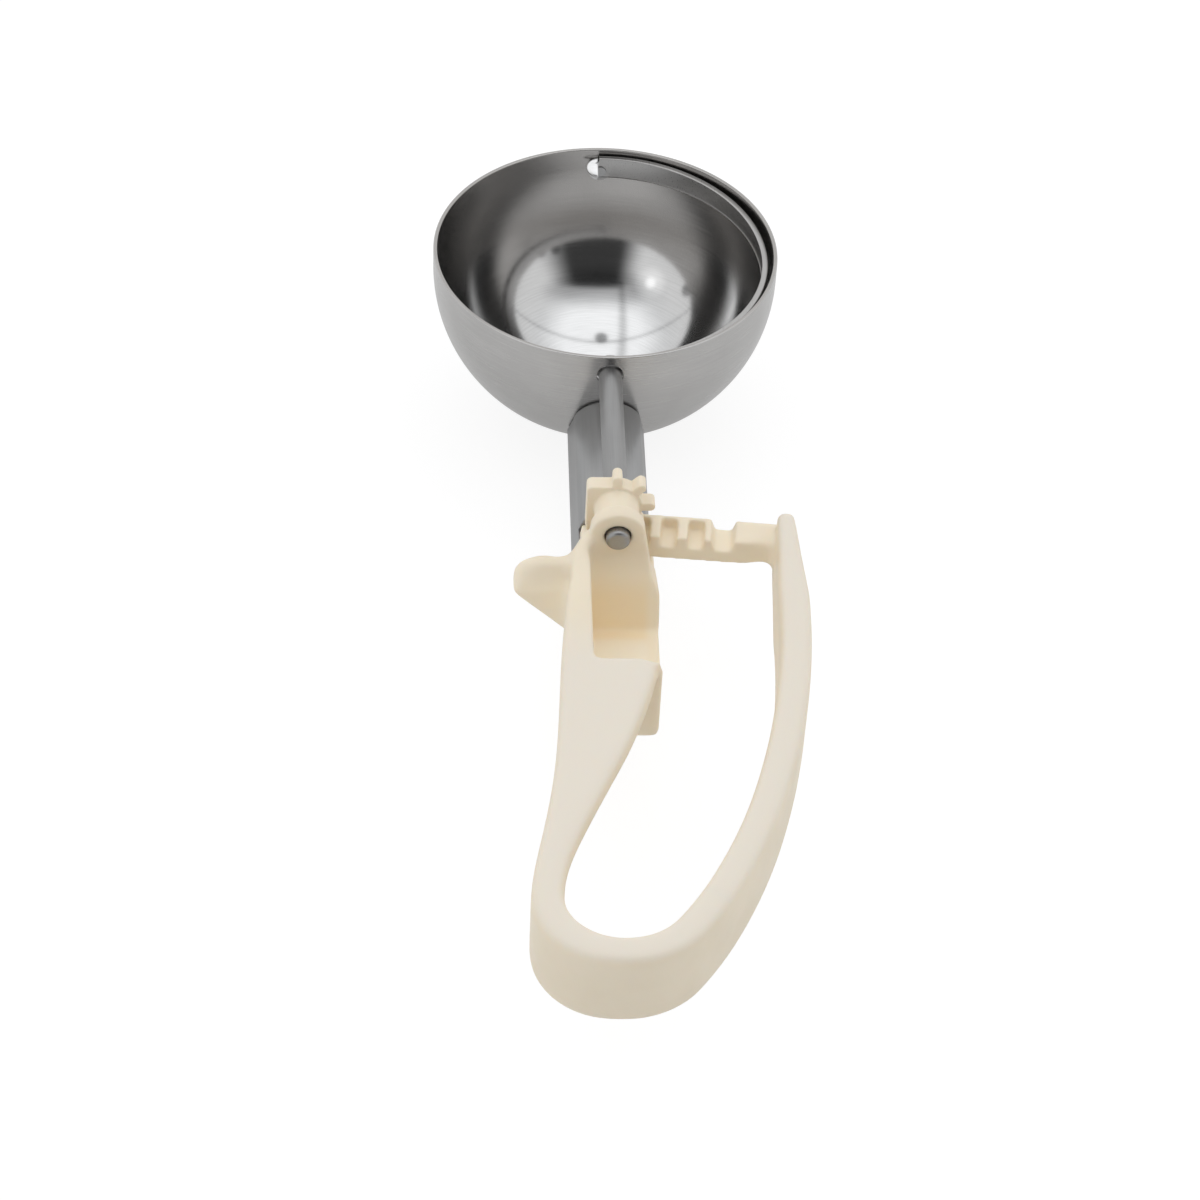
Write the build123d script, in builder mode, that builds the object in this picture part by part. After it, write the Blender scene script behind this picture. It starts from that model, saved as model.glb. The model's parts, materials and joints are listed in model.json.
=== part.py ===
from build123d import *
import os
from math import asin, cos, degrees, radians, sin, tan

# Squeeze-handle ice cream scoop, in millimetres.
# Origin: centre of the bowl's rim circle. +Z points out of the bowl's mouth, the handle runs
# along -Y, and the squeeze arm lies on the +X side of the grip.

# ---------------------------------------------------------------- bowl
bowl_radius = 35.0          # outside radius of the hemisphere and of its skirt
bowl_wall = 0.8             # sheet thickness
skirt_height = 4.5          # straight band between the rim and the hemisphere
rim_round = 0.2             # rounding of the rim's two edges
axis_z = -skirt_height      # the blade turns about the hemisphere's own centre

# ---------------------------------------------------------------- blade, shaft and pivot
blade_wall_gap = 1.0        # between the scraper and the inside of the bowl
blade_thickness = 1.25
blade_width = 5.2           # along the direction of sweep
tab_radius = 2.9            # round tabs at the blade's two ends
shaft_radius = 2.3
shaft_end_y = -83.5         # free end, just proud of the bearing wall
shaft_chamfer = 0.6
tenon_radius = 1.3          # riveted end that holds the blade's near tab
tenon_stand = 0.5           # how far the riveted end stands inside the tab
pin_radius = 1.2            # far pivot pin
pin_head_radius = 2.4
pin_head_height = 1.0
bowl_hole_clearance = 0.35  # shaft through the bowl's near wall
bore_clearance = 0.08       # shaft in the bearing wall
pin_clearance = 0.06        # pivot pin in the bowl's far wall
seat_gap = 0.02             # between pieces that are joined for good
running_gap = 0.15          # end play beside the gear hub and under the pin's head

# ---------------------------------------------------------------- shank, an arched channel
arch_radius = 6.65          # outside radius of the arch
arch_top_z = -11.5
shank_thickness = 1.2
leg_flare = 10.0            # degrees that the two legs open out below the arch
leg_bottom_z = -23.5
shank_shoulder_y = -66.0    # here the arch stops and only its two legs run on
prong_end_y = -81.0
prong_top_z = -16.5

# ---------------------------------------------------------------- head of the handle
head_side_wall = 0.704       # plastic outside the shank's prongs
head_far_y = shank_shoulder_y
head_bottom_z = -25.5
keel_round = 2.0            # rounding of the underside's long edges
keel_taper_y = -98.0        # from here the right side narrows towards the pocket's end wall
keel_end_x = 7.2            # right side at the end wall
floor_z = -15.7             # floor that the rack slides over
wall_near_y = -81.9         # bearing wall, near and far faces
wall_far_y = -78.5
boss_radius = 5.2           # round top of the bearing wall, about the shaft
flank_half_width = 6.6      # bearing wall where it leaves the boss
flank_z = -13.0             # below this the wall widens to the head
flank_drop = 4.0            # height over which it widens
shelf_far_y = -77.2         # left shoulder beside the bearing wall
shelf_right_x = -5.4

# ---------------------------------------------------------------- grip, pocket and loop
handle_top_z = -5.5
handle_bottom_z = -22.0
edge_round = 1.6            # rounding of the grip's and the arm's long edges
grip_split_y = -84.0        # where the head ends and the grip begins
pocket_wall_y = -112.5      # end of the pocket in front of the bearing wall
pocket_end_wall = 1.6
pocket_left_x = -5.2
pocket_floor_z = -23.5
pocket_round = 1.5
buttress_reach = 5.1        # how far the bearing wall leans out at the pocket's floor
buttress_top_z = -9.0
grip_waist_x = -11.1        # left edge of the grip beside the pocket's end
grip_lean = 7.0             # degrees that the left edge leans out where it leaves the shoulder
grip_shoulder_x = 6.4       # right edge beside the pocket's end wall
# points of the grip's edges, each as x and its distance from the hinge line
grip_middle = (-12.6, 43.3)
grip_heel = (-15.2, 26.3)
grip_flank = (4.1, 57.3)
grip_hollow = (-0.5, 44.1)
grip_bend = (-7.8, 26.8)
web_thickness = 3.6         # top web beside the strap that runs down the grip's left side
web_strap_width = 3.0       # that strap's own width
loop_length = 24.3          # from the hinge line to where the loop meets the grip

hinge_x = -1.5              # middle of the strap at the loop's near end
hinge_y = -180.3
strap_thickness = 5.8
loop_left_x = -17.3         # outside of the loop's left side
heel_outer_radius = 13.8    # the loop's left bend
heel_inner_radius = 10.6     # the inside of the left bend starts wide
heel_inner_turn = 52.0      # and turns this many degrees
heel_corner_radius = 8.4    # before it tightens
heel_corner_turn = 42.0
flex_gap = 0.3              # slit at the hinge line

# The arm's middle line leaves the hinge along +X and follows four tangent arcs.
arm_bend_radius = 13.8
arm_bend_turn = 52.5
arm_sweep_radius = 74.0
arm_sweep_turn = 9.5
arm_flank_radius = 117.0
arm_flank_turn = 10.7
arm_crown_radius = 170.0
arm_crown_turn = 17.3
arm_tip_x = 30.5            # inner corner of the straight tip
arm_tip_y = -72.9
arm_tip_thickness = 3.2
arm_edge_round = 1.3
tip_round = 0.9

# ---------------------------------------------------------------- thumb rest
rest_far_y = -82.6
rest_near_y = -89.3
rest_top_z = -7.4
rest_tip_x = -19.7
rest_tip_z = -11.2
rest_tip_radius = 3.4
rest_root_z = -23.5
rest_root_depth = 1.5       # how far the rest reaches into the handle's side
rest_round = 1.5

# ---------------------------------------------------------------- rack and gear
pitch_radius = 6.561        # the rack's travel is half the pitch circle
rest_tilt = 5.5             # the rack leans back by this at rest
gear_turn = 180.0           # degrees that the blade sweeps over the same travel
tooth_count = 5
rack_middle_y = -71.8       # rack's middle line under the shaft, at rest
rack_depth = 6.5
rack_length = 31.0          # reaches past the arm's inner face, and is trimmed by it
rack_top_z = -9.9
rack_bottom_z = -15.4
rack_rear_wall = 0.95
slot_width = 3.05
slot_floor_gap = 0.7        # under a tooth that points straight down
slot_floor_round = 0.8
last_slot_mouth = 4.6       # the outermost slot opens out through the rear wall
gear_near_y = -73.7
gear_far_y = -70.5
hub_radius = 4.25
core_radius = 4.9
tooth_tip_radius = 7.3
tooth_width = 1.9
plate_left = 5.7            # the toothless half of the gear is a square plate
plate_top = 4.9
plate_bottom = 6.3
plate_corner = 1.0

# ---------------------------------------------------------------- derived sizes
bowl_inner = bowl_radius - bowl_wall
blade_outer = bowl_inner - blade_wall_gap
blade_inner = blade_outer - blade_thickness
arch_centre_z = arch_top_z - arch_radius
leg_drop = arch_centre_z + arch_radius * sin(radians(leg_flare)) - leg_bottom_z
leg_foot_x = arch_radius * cos(radians(leg_flare)) + leg_drop * tan(radians(leg_flare))
head_half_width = leg_foot_x + head_side_wall
keel_near_y = pocket_wall_y - pocket_end_wall
loop_split_y = hinge_y + loop_length
far_reach = 4 * bowl_radius  # longer than any cut has to be
overlap = 0.5                # shared depth where regions of one moulding are joined

# The rack turns about the hinge. At a lean of a degrees its middle line passes the shaft at
# s = reach*sin(a) - hinge_x*cos(a) along the bar. The travel gives the tooth pitch and, with
# the reach, the degrees that the arm closes.
reach = rack_middle_y - hinge_y


def bar_station(lean):
    return reach * sin(radians(lean)) - hinge_x * cos(radians(lean))


rack_travel = pitch_radius * radians(gear_turn)
swing = rest_tilt + degrees(asin(rack_travel / reach - sin(radians(rest_tilt))))
tooth_pitch = rack_travel / (tooth_count - 1)
slot_depth = rack_top_z - (axis_z - tooth_tip_radius - slot_floor_gap)
bar_distance = reach * cos(radians(rest_tilt)) + hinge_x * sin(radians(-rest_tilt))
bar_plane = Plane(
    origin=(hinge_x, hinge_y, rack_top_z),
    x_dir=(cos(radians(rest_tilt)), -sin(radians(rest_tilt)), 0),
    z_dir=(0, 0, 1),
)
first_station = bar_station(-rest_tilt)


def cross_plane(y):
    """Plane across the scoop at y: sketch x is X, sketch y is Z, its normal is -Y."""
    return Plane(origin=(0, y, 0), x_dir=(1, 0, 0), z_dir=(0, -1, 0))


def shaft_plane_at(y):
    """The same plane with its centre on the shaft's axis."""
    return Plane(origin=(0, y, axis_z), x_dir=(1, 0, 0), z_dir=(0, -1, 0))


shaft_plane = shaft_plane_at(0)


# ---------------------------------------------------------------- bowl
with BuildPart() as bowl:
    with BuildSketch(Plane.XZ):
        with BuildLine():
            Line((0, axis_z - bowl_inner), (0, axis_z - bowl_radius))
            RadiusArc((0, axis_z - bowl_radius), (bowl_radius, axis_z), -bowl_radius)
            Line((bowl_radius, axis_z), (bowl_radius, 0))
            Line((bowl_radius, 0), (bowl_inner, 0))
            Line((bowl_inner, 0), (bowl_inner, axis_z))
            RadiusArc((bowl_inner, axis_z), (0, axis_z - bowl_inner), bowl_inner)
        make_face()
    revolve(axis=Axis.Z)
    fillet(bowl.edges().group_by(Axis.Z)[-1], radius=rim_round)
    with BuildSketch(shaft_plane):
        Circle(shaft_radius + bowl_hole_clearance)
    extrude(amount=far_reach, mode=Mode.SUBTRACT)
    with BuildSketch(shaft_plane):
        Circle(pin_radius + pin_clearance)
    extrude(amount=-far_reach, mode=Mode.SUBTRACT)
bowl.part.label = "bowl"


# ---------------------------------------------------------------- scraper blade
with BuildPart() as scraper_blade:
    with BuildSketch(shaft_plane):
        Circle(tab_radius)
        Rectangle(blade_outer + blade_width, blade_width, align=(Align.MIN, Align.CENTER))
    extrude(amount=far_reach, both=True)
    with Locations((0, 0, axis_z)):
        Sphere(blade_outer, mode=Mode.INTERSECT)
        Sphere(blade_inner, mode=Mode.SUBTRACT)
    with BuildSketch(shaft_plane):
        Circle(tenon_radius + seat_gap)
    extrude(amount=far_reach, mode=Mode.SUBTRACT)
    with BuildSketch(shaft_plane):
        Circle(pin_radius + seat_gap)
    extrude(amount=-far_reach, mode=Mode.SUBTRACT)
scraper_blade.part.label = "scraper_blade"


# ---------------------------------------------------------------- blade shaft
shoulder_y = -(blade_outer + seat_gap)
tenon_end_y = -(blade_inner - tenon_stand)
with BuildPart() as blade_shaft:
    with BuildSketch(shaft_plane_at(shoulder_y)):
        Circle(shaft_radius)
    extrude(amount=shoulder_y - shaft_end_y)
    chamfer(blade_shaft.edges().group_by(Axis.Y)[0], length=shaft_chamfer)
    with BuildSketch(shaft_plane_at(shoulder_y)):
        Circle(tenon_radius)
    extrude(amount=shoulder_y - tenon_end_y)
    fillet(blade_shaft.edges().group_by(Axis.Y)[-1], radius=tenon_stand / 2)
blade_shaft.part.label = "blade_shaft"


# ---------------------------------------------------------------- far pivot pin
head_seat_y = bowl_radius + running_gap
with BuildPart() as pivot_pin:
    with BuildSketch(shaft_plane_at(blade_inner)):
        Circle(pin_radius)
    extrude(amount=-(head_seat_y - blade_inner))
    with BuildSketch(shaft_plane_at(head_seat_y)):
        Circle(pin_head_radius)
    extrude(amount=-pin_head_height)
    fillet(pivot_pin.edges().group_by(Axis.Y)[-1], radius=pin_head_height / 2)
pivot_pin.part.label = "pivot_pin"


# ---------------------------------------------------------------- shank
def arch_face(radius, bottom_z):
    """Arch on two legs that open outwards, in a plane across the scoop."""
    flare = radians(leg_flare)
    knee_x = radius * cos(flare)
    knee_z = arch_centre_z + radius * sin(flare)
    foot_x = knee_x + (knee_z - bottom_z) * tan(flare)
    with BuildLine() as arch:
        ThreePointArc((-knee_x, knee_z), (0, arch_centre_z + radius), (knee_x, knee_z))
        Line((knee_x, knee_z), (foot_x, bottom_z))
        Line((foot_x, bottom_z), (-foot_x, bottom_z))
        Line((-foot_x, bottom_z), (-knee_x, knee_z))
    make_face(arch.edges())


def channel_section(grow):
    """The channel's own section, with grow added on each side of the sheet."""
    with BuildSketch(mode=Mode.PRIVATE) as inner:
        arch_face(arch_radius - shank_thickness - grow, leg_bottom_z - far_reach)
    arch_face(arch_radius + grow, leg_bottom_z - grow)
    add(inner.sketch, mode=Mode.SUBTRACT)


with BuildPart() as shank:
    with BuildSketch(cross_plane(0)):
        channel_section(0)
    extrude(amount=-prong_end_y)
    with Locations((0, 0, axis_z)):
        Sphere(bowl_radius + seat_gap, mode=Mode.SUBTRACT)
    with BuildSketch(cross_plane(shank_shoulder_y)):
        with Locations((0, prong_top_z)):
            Rectangle(far_reach, far_reach, align=(Align.CENTER, Align.MIN))
    extrude(amount=far_reach, mode=Mode.SUBTRACT)
shank.part.label = "shank"


# ---------------------------------------------------------------- handle, one moulding
def plan_plane(z):
    return Plane.XY.offset(z)


strap_in_y = hinge_y + strap_thickness / 2
strap_out_y = hinge_y - strap_thickness / 2
wide_turn = radians(heel_inner_turn)
whole_turn = radians(heel_inner_turn + heel_corner_turn)
radius_change = heel_inner_radius - heel_corner_radius
inner_end = (
    hinge_x - radius_change * sin(wide_turn) - heel_corner_radius * sin(whole_turn),
    strap_in_y + heel_inner_radius - radius_change * cos(wide_turn) - heel_corner_radius * cos(whole_turn),
)


def from_hinge(point):
    """A point given by its x and its distance from the hinge line, in plan."""
    return (point[0], hinge_y + point[1])


def grip_outline():
    """Plan of the moulding from the bearing wall round to the hinge line."""
    left_top = (-head_half_width, grip_split_y)
    lean = (-sin(radians(grip_lean)), -cos(radians(grip_lean)))
    heel_start = (loop_left_x, strap_out_y + heel_outer_radius)
    heel_end = (loop_left_x + heel_outer_radius, strap_out_y)
    near_outer = (hinge_x, strap_out_y)
    near_inner = (hinge_x, strap_in_y)
    waist = (grip_waist_x, pocket_wall_y)
    grip_shoulder = (grip_shoulder_x, keel_near_y)
    grip_run = Vector(from_hinge(grip_hollow)) - Vector(from_hinge(grip_bend))
    keel_corner = (keel_end_x, keel_near_y)
    taper_start = (head_half_width, keel_taper_y)
    with BuildLine() as outline:
        Line((-head_half_width, wall_far_y), left_top)
        left_points = (left_top, waist, from_hinge(grip_middle), from_hinge(grip_heel), heel_start)
        Spline(left_points, tangents=[lean, (0, -1)])
        RadiusArc(heel_start, heel_end, -heel_outer_radius)
        Line(heel_end, near_outer)
        Line(near_outer, near_inner)
        wide_bend = JernArc(near_inner, (-1, 0), heel_inner_radius, -heel_inner_turn)
        JernArc(wide_bend @ 1, wide_bend % 1, heel_corner_radius, -heel_corner_turn)
        inner_points = (inner_end, from_hinge(grip_bend), from_hinge(grip_hollow))
        Spline(inner_points, tangents=[(-cos(whole_turn), sin(whole_turn)), grip_run])
        Spline(from_hinge(grip_hollow), from_hinge(grip_flank), grip_shoulder)
        Line(grip_shoulder, keel_corner)
        Line(keel_corner, taper_start)
        Line(taper_start, (head_half_width, wall_far_y))
        Line((head_half_width, wall_far_y), (-head_half_width, wall_far_y))
    make_face(outline.edges())


def hollow_outline():
    """Plan of the open space below the web, from the left strap out past the right edge."""
    inset = Vector(web_strap_width, 0)
    wall_start = Vector(grip_waist_x, keel_near_y) + inset
    wall_middle = Vector(from_hinge(grip_middle)) + inset
    wall_heel = Vector(from_hinge(grip_heel)) + inset
    with BuildLine() as hollow:
        Spline(wall_start, wall_middle, wall_heel, inner_end)
        Polyline(
            inner_end,
            (far_reach, inner_end[1]),
            (far_reach, keel_near_y),
            wall_start,
        )
    make_face(hollow.edges())


with BuildPart() as keel:
    # full-width underside below the pocket, and the solid floor under the rack
    with BuildSketch(plan_plane(head_bottom_z)):
        Polygon(
            (-head_half_width, keel_near_y),
            (keel_end_x, keel_near_y),
            (head_half_width, keel_taper_y),
            (head_half_width, head_far_y),
            (-head_half_width, head_far_y),
            align=None,
        )
    extrude(amount=handle_bottom_z - head_bottom_z + overlap)
    with BuildSketch(plan_plane(head_bottom_z)):
        with Locations((-head_half_width, wall_far_y)):
            Rectangle(2 * head_half_width, head_far_y - wall_far_y, align=Align.MIN)
    extrude(amount=floor_z - head_bottom_z)
    underside = keel.faces().sort_by(Axis.Z)[0]
    fillet(underside.edges().sort_by(Axis.Y)[:-1], radius=keel_round)


with BuildPart() as prong_bed:
    # room in the plastic for the shank's two prongs
    with BuildSketch(cross_plane(head_far_y + overlap)):
        channel_section(seat_gap)
    extrude(amount=head_far_y + overlap - prong_end_y + seat_gap)
    with BuildSketch(cross_plane(head_far_y + overlap)):
        with Locations((0, prong_top_z + seat_gap)):
            Rectangle(far_reach, far_reach, align=(Align.CENTER, Align.MIN))
    extrude(amount=far_reach, mode=Mode.SUBTRACT)


with BuildPart() as moulding:
    # grip, pocket walls and the left half of the loop, all of one height
    with BuildSketch(plan_plane(handle_bottom_z)):
        grip_outline()
    extrude(amount=handle_top_z - handle_bottom_z)
    near_edges = moulding.edges().filter_by_position(Axis.Y, strap_out_y, loop_split_y)
    fillet(near_edges.filter_by(Plane.XY), radius=edge_round)
    # the grip is open below its top web: a strap down the left side and a web beside it
    with BuildSketch(plan_plane(handle_bottom_z)):
        hollow_outline()
    extrude(amount=handle_top_z - web_thickness - handle_bottom_z, mode=Mode.SUBTRACT)
    add(keel.part)
    # left shoulder beside the bearing wall
    with BuildSketch(plan_plane(floor_z)):
        with Locations((-head_half_width, wall_far_y)):
            Rectangle(head_half_width + shelf_right_x, shelf_far_y - wall_far_y, align=Align.MIN)
    extrude(amount=handle_top_z - floor_z)
    # the pocket, open to the right and above
    with BuildSketch(plan_plane(pocket_floor_z)) as pocket_plan:
        with Locations((pocket_left_x, pocket_wall_y)):
            Rectangle(far_reach, wall_near_y - pocket_wall_y, align=Align.MIN)
        fillet(pocket_plan.vertices().group_by(Axis.X)[0], radius=pocket_round)
    extrude(amount=far_reach, mode=Mode.SUBTRACT)
    # bearing wall leans out towards the pocket's floor
    with BuildSketch(Plane.YZ.offset(pocket_left_x)):
        Polygon(
            (wall_near_y + overlap, buttress_top_z),
            (wall_near_y, buttress_top_z),
            (wall_near_y - buttress_reach, pocket_floor_z),
            (wall_near_y + overlap, pocket_floor_z),
            align=None,
        )
    extrude(amount=head_half_width - pocket_left_x)
    # its right flank narrows to the boss
    with BuildSketch(cross_plane(wall_far_y)):
        Polygon(
            (boss_radius, handle_top_z + far_reach),
            (boss_radius, axis_z),
            (flank_half_width, flank_z),
            (head_half_width, flank_z - flank_drop),
            (far_reach, flank_z - flank_drop),
            (far_reach, handle_top_z + far_reach),
            align=None,
        )
    extrude(amount=wall_far_y - wall_near_y + buttress_reach, mode=Mode.SUBTRACT)
    # round boss and the shaft's bore
    with BuildSketch(shaft_plane_at(wall_far_y)):
        Circle(boss_radius)
    extrude(amount=wall_far_y - wall_near_y)
    with BuildSketch(shaft_plane_at(wall_far_y)):
        Circle(shaft_radius + bore_clearance)
    extrude(amount=wall_far_y - wall_near_y, mode=Mode.SUBTRACT)
    add(prong_bed.part, mode=Mode.SUBTRACT)


def facing_far(y):
    """Plane at y whose top side is the bowl's side."""
    return Plane(origin=(0, y, 0), x_dir=(1, 0, 0), z_dir=(0, 1, 0))


with BuildPart() as handle_head:
    add(moulding.part)
    split(bisect_by=facing_far(grip_split_y), keep=Keep.TOP)
handle_head.part.label = "handle_head"

with BuildPart() as handle_grip:
    add(moulding.part)
    split(bisect_by=facing_far(grip_split_y), keep=Keep.BOTTOM)
    split(bisect_by=facing_far(loop_split_y), keep=Keep.TOP)
handle_grip.part.label = "handle_grip"

with BuildPart() as return_loop:
    add(moulding.part)
    split(bisect_by=facing_far(loop_split_y), keep=Keep.BOTTOM)
return_loop.part.label = "return_loop"


# ---------------------------------------------------------------- thumb rest
with BuildPart() as thumb_rest:
    with BuildSketch(cross_plane(rest_far_y)):
        with Locations((rest_tip_x + rest_tip_radius, rest_tip_z)):
            Circle(rest_tip_radius)
        with Locations((-head_half_width, rest_top_z)):
            Rectangle(rest_root_depth, rest_top_z - rest_root_z, align=(Align.MIN, Align.MAX))
        make_hull()
    extrude(amount=rest_far_y - rest_near_y)
    end_edges = thumb_rest.faces().filter_by(Axis.Y).edges()
    root_edges = 2
    fillet(end_edges.sort_by(Axis.X)[:-root_edges], radius=rest_round)
    add(moulding.part, mode=Mode.SUBTRACT)
thumb_rest.part.label = "thumb_rest"


# ---------------------------------------------------------------- squeeze arm
def arm_outline():
    """Plan of the arm: four tangent arcs and a straight, tapered tip."""
    half = strap_thickness / 2
    turns = (
        (arm_bend_radius, arm_bend_turn),
        (arm_sweep_radius, arm_sweep_turn),
        (arm_flank_radius, arm_flank_turn),
        (arm_crown_radius, arm_crown_turn),
    )
    ends = []
    with BuildLine() as outline:
        for side in (half, -half):
            point = (hinge_x, hinge_y - side)
            heading = Vector(1, 0)
            for radius, turn in turns:
                arc = JernArc(point, heading, radius + side, turn)
                point = arc @ 1
                heading = arc % 1
            ends.append(point)
        Line((hinge_x, hinge_y - half), (hinge_x, hinge_y + half))
        tip_outer = (arm_tip_x + arm_tip_thickness, arm_tip_y)
        Polyline(ends[0], tip_outer, (arm_tip_x, arm_tip_y), ends[1])
    make_face(outline.edges())


with BuildPart() as squeeze_arm:
    with BuildSketch(plan_plane(handle_bottom_z)):
        arm_outline()
    extrude(amount=handle_top_z - handle_bottom_z)
    upright_edges = squeeze_arm.edges().filter_by(Axis.Z)
    fillet(upright_edges.group_by(Axis.Y)[-1], radius=tip_round)
    fillet(squeeze_arm.faces().filter_by(Axis.Z).edges(), radius=arm_edge_round)
    # end face at the hinge line, bevelled so that the arm can close
    with BuildSketch(plan_plane(handle_bottom_z)):
        Polygon(
            (hinge_x - strap_thickness, hinge_y - strap_thickness),
            (hinge_x + flex_gap, hinge_y - strap_thickness),
            (hinge_x + flex_gap, hinge_y),
            (hinge_x + flex_gap + strap_thickness * tan(radians(swing)), hinge_y + strap_thickness),
            (hinge_x - strap_thickness, hinge_y + strap_thickness),
            align=None,
        )
    extrude(amount=far_reach, mode=Mode.SUBTRACT)
squeeze_arm.part.label = "squeeze_arm"


# ---------------------------------------------------------------- gear rack
bar_front = bar_distance - rack_depth / 2
front_plane = Plane(
    origin=bar_plane.from_local_coords(Vector(0, bar_front, 0)),
    x_dir=bar_plane.x_dir,
    z_dir=-bar_plane.y_dir,
)
rear_wall_front = rack_depth - rack_rear_wall
last_station = first_station + (tooth_count - 1) * tooth_pitch

with BuildPart() as gear_rack:
    with BuildSketch(bar_plane):
        with Locations((first_station + slot_width / 2, bar_front)):
            Rectangle(rack_length, rack_depth, align=Align.MIN)
    extrude(amount=rack_bottom_z - rack_top_z)
    with BuildSketch(front_plane) as slots:
        for slot in range(1, tooth_count):
            with Locations((first_station + slot * tooth_pitch, 0)):
                Rectangle(slot_width, 2 * slot_depth)
        fillet(slots.vertices().group_by(Axis.Z)[0], radius=slot_floor_round)
    extrude(amount=-rear_wall_front, mode=Mode.SUBTRACT)
    with BuildSketch(front_plane):
        with Locations((last_station, 0)):
            Polygon(
                (-last_slot_mouth / 2, 0),
                (-slot_width / 2, -slot_depth),
                (slot_width / 2, -slot_depth),
                (last_slot_mouth / 2, 0),
                align=None,
            )
    extrude(amount=-rack_depth - overlap, mode=Mode.SUBTRACT)
    add(squeeze_arm.part, mode=Mode.SUBTRACT)
gear_rack.part.label = "gear_rack"


# ---------------------------------------------------------------- drive gear
hub_near_y = wall_far_y + running_gap
tooth_reach = tooth_tip_radius - tooth_width / 2
with BuildPart() as drive_gear:
    with BuildSketch(shaft_plane_at(gear_far_y)) as gear_face:
        with Locations((-plate_left, -plate_bottom)):
            Rectangle(plate_left, plate_top + plate_bottom, align=Align.MIN)
        fillet(gear_face.vertices().group_by(Axis.X)[0], radius=plate_corner)
        Circle(core_radius)
        with PolarLocations(tooth_reach / 2, tooth_count, -gear_turn / 2, gear_turn, endpoint=True):
            SlotCenterToCenter(tooth_reach, tooth_width)
    extrude(amount=gear_far_y - gear_near_y)
    with BuildSketch(shaft_plane_at(gear_near_y)):
        Circle(hub_radius)
    extrude(amount=gear_near_y - hub_near_y)
    with BuildSketch(shaft_plane_at(gear_far_y)):
        Circle(shaft_radius + seat_gap)
    extrude(amount=gear_far_y - hub_near_y, mode=Mode.SUBTRACT)
drive_gear.part.label = "drive_gear"


# ---------------------------------------------------------------- write the pieces
pieces = (
    bowl,
    shank,
    scraper_blade,
    blade_shaft,
    pivot_pin,
    drive_gear,
    handle_head,
    thumb_rest,
    handle_grip,
    return_loop,
    squeeze_arm,
    gear_rack,
)
os.makedirs("parts", exist_ok=True)
for piece in pieces:
    export_step(piece.part, f"parts/{piece.part.label}.step")
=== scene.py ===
import json
from math import cos, radians, sin, sqrt, tan, tau

import bmesh
import bpy
import numpy as np
from mathutils import Matrix, Vector

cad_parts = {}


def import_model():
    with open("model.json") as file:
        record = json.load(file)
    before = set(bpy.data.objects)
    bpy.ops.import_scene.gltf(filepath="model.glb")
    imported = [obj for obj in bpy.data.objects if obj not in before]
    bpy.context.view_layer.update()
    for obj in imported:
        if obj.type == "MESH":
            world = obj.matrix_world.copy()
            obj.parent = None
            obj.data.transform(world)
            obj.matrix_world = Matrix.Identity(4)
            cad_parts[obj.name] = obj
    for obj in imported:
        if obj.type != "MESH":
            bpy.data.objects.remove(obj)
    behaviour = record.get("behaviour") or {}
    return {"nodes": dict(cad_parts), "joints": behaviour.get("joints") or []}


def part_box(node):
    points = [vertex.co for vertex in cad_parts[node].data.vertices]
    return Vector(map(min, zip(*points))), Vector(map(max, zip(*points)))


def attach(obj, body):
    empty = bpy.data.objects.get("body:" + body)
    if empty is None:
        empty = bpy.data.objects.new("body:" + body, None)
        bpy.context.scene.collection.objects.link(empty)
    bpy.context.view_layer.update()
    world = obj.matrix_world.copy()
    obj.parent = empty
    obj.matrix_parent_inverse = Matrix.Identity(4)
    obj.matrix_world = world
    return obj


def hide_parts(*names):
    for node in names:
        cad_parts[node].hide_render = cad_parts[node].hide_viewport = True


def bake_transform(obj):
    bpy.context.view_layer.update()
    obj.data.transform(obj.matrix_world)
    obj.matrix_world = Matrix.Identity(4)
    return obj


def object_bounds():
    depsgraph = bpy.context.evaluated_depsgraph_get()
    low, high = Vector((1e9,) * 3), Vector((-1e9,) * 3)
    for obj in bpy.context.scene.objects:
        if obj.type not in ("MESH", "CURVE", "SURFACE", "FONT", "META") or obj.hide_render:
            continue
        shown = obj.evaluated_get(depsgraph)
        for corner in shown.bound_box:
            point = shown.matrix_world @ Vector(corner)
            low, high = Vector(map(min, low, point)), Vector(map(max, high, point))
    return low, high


# Squeeze-handle ice cream scoop: the looks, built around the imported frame. The frame's origin is
# the centre of the bowl's rim circle, +Z points out of the mouth and the handle runs along -Y.
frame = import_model()
cad_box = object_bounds()
mm = 0.001

# ---------------------------------------------------------------- camera
image_size = 1200.0                 # pixels, both ways
focal_length = 3227.78              # pixels
view_azimuth = radians(-3.431)
view_elevation = radians(37.279)
view_roll = radians(2.807)
view_distance = 660 * mm
rim_centre_pixel = (605.656, 248.698)   # where the origin is seen
sensor_width = 36.0                 # millimetres, on the camera's back


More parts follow.
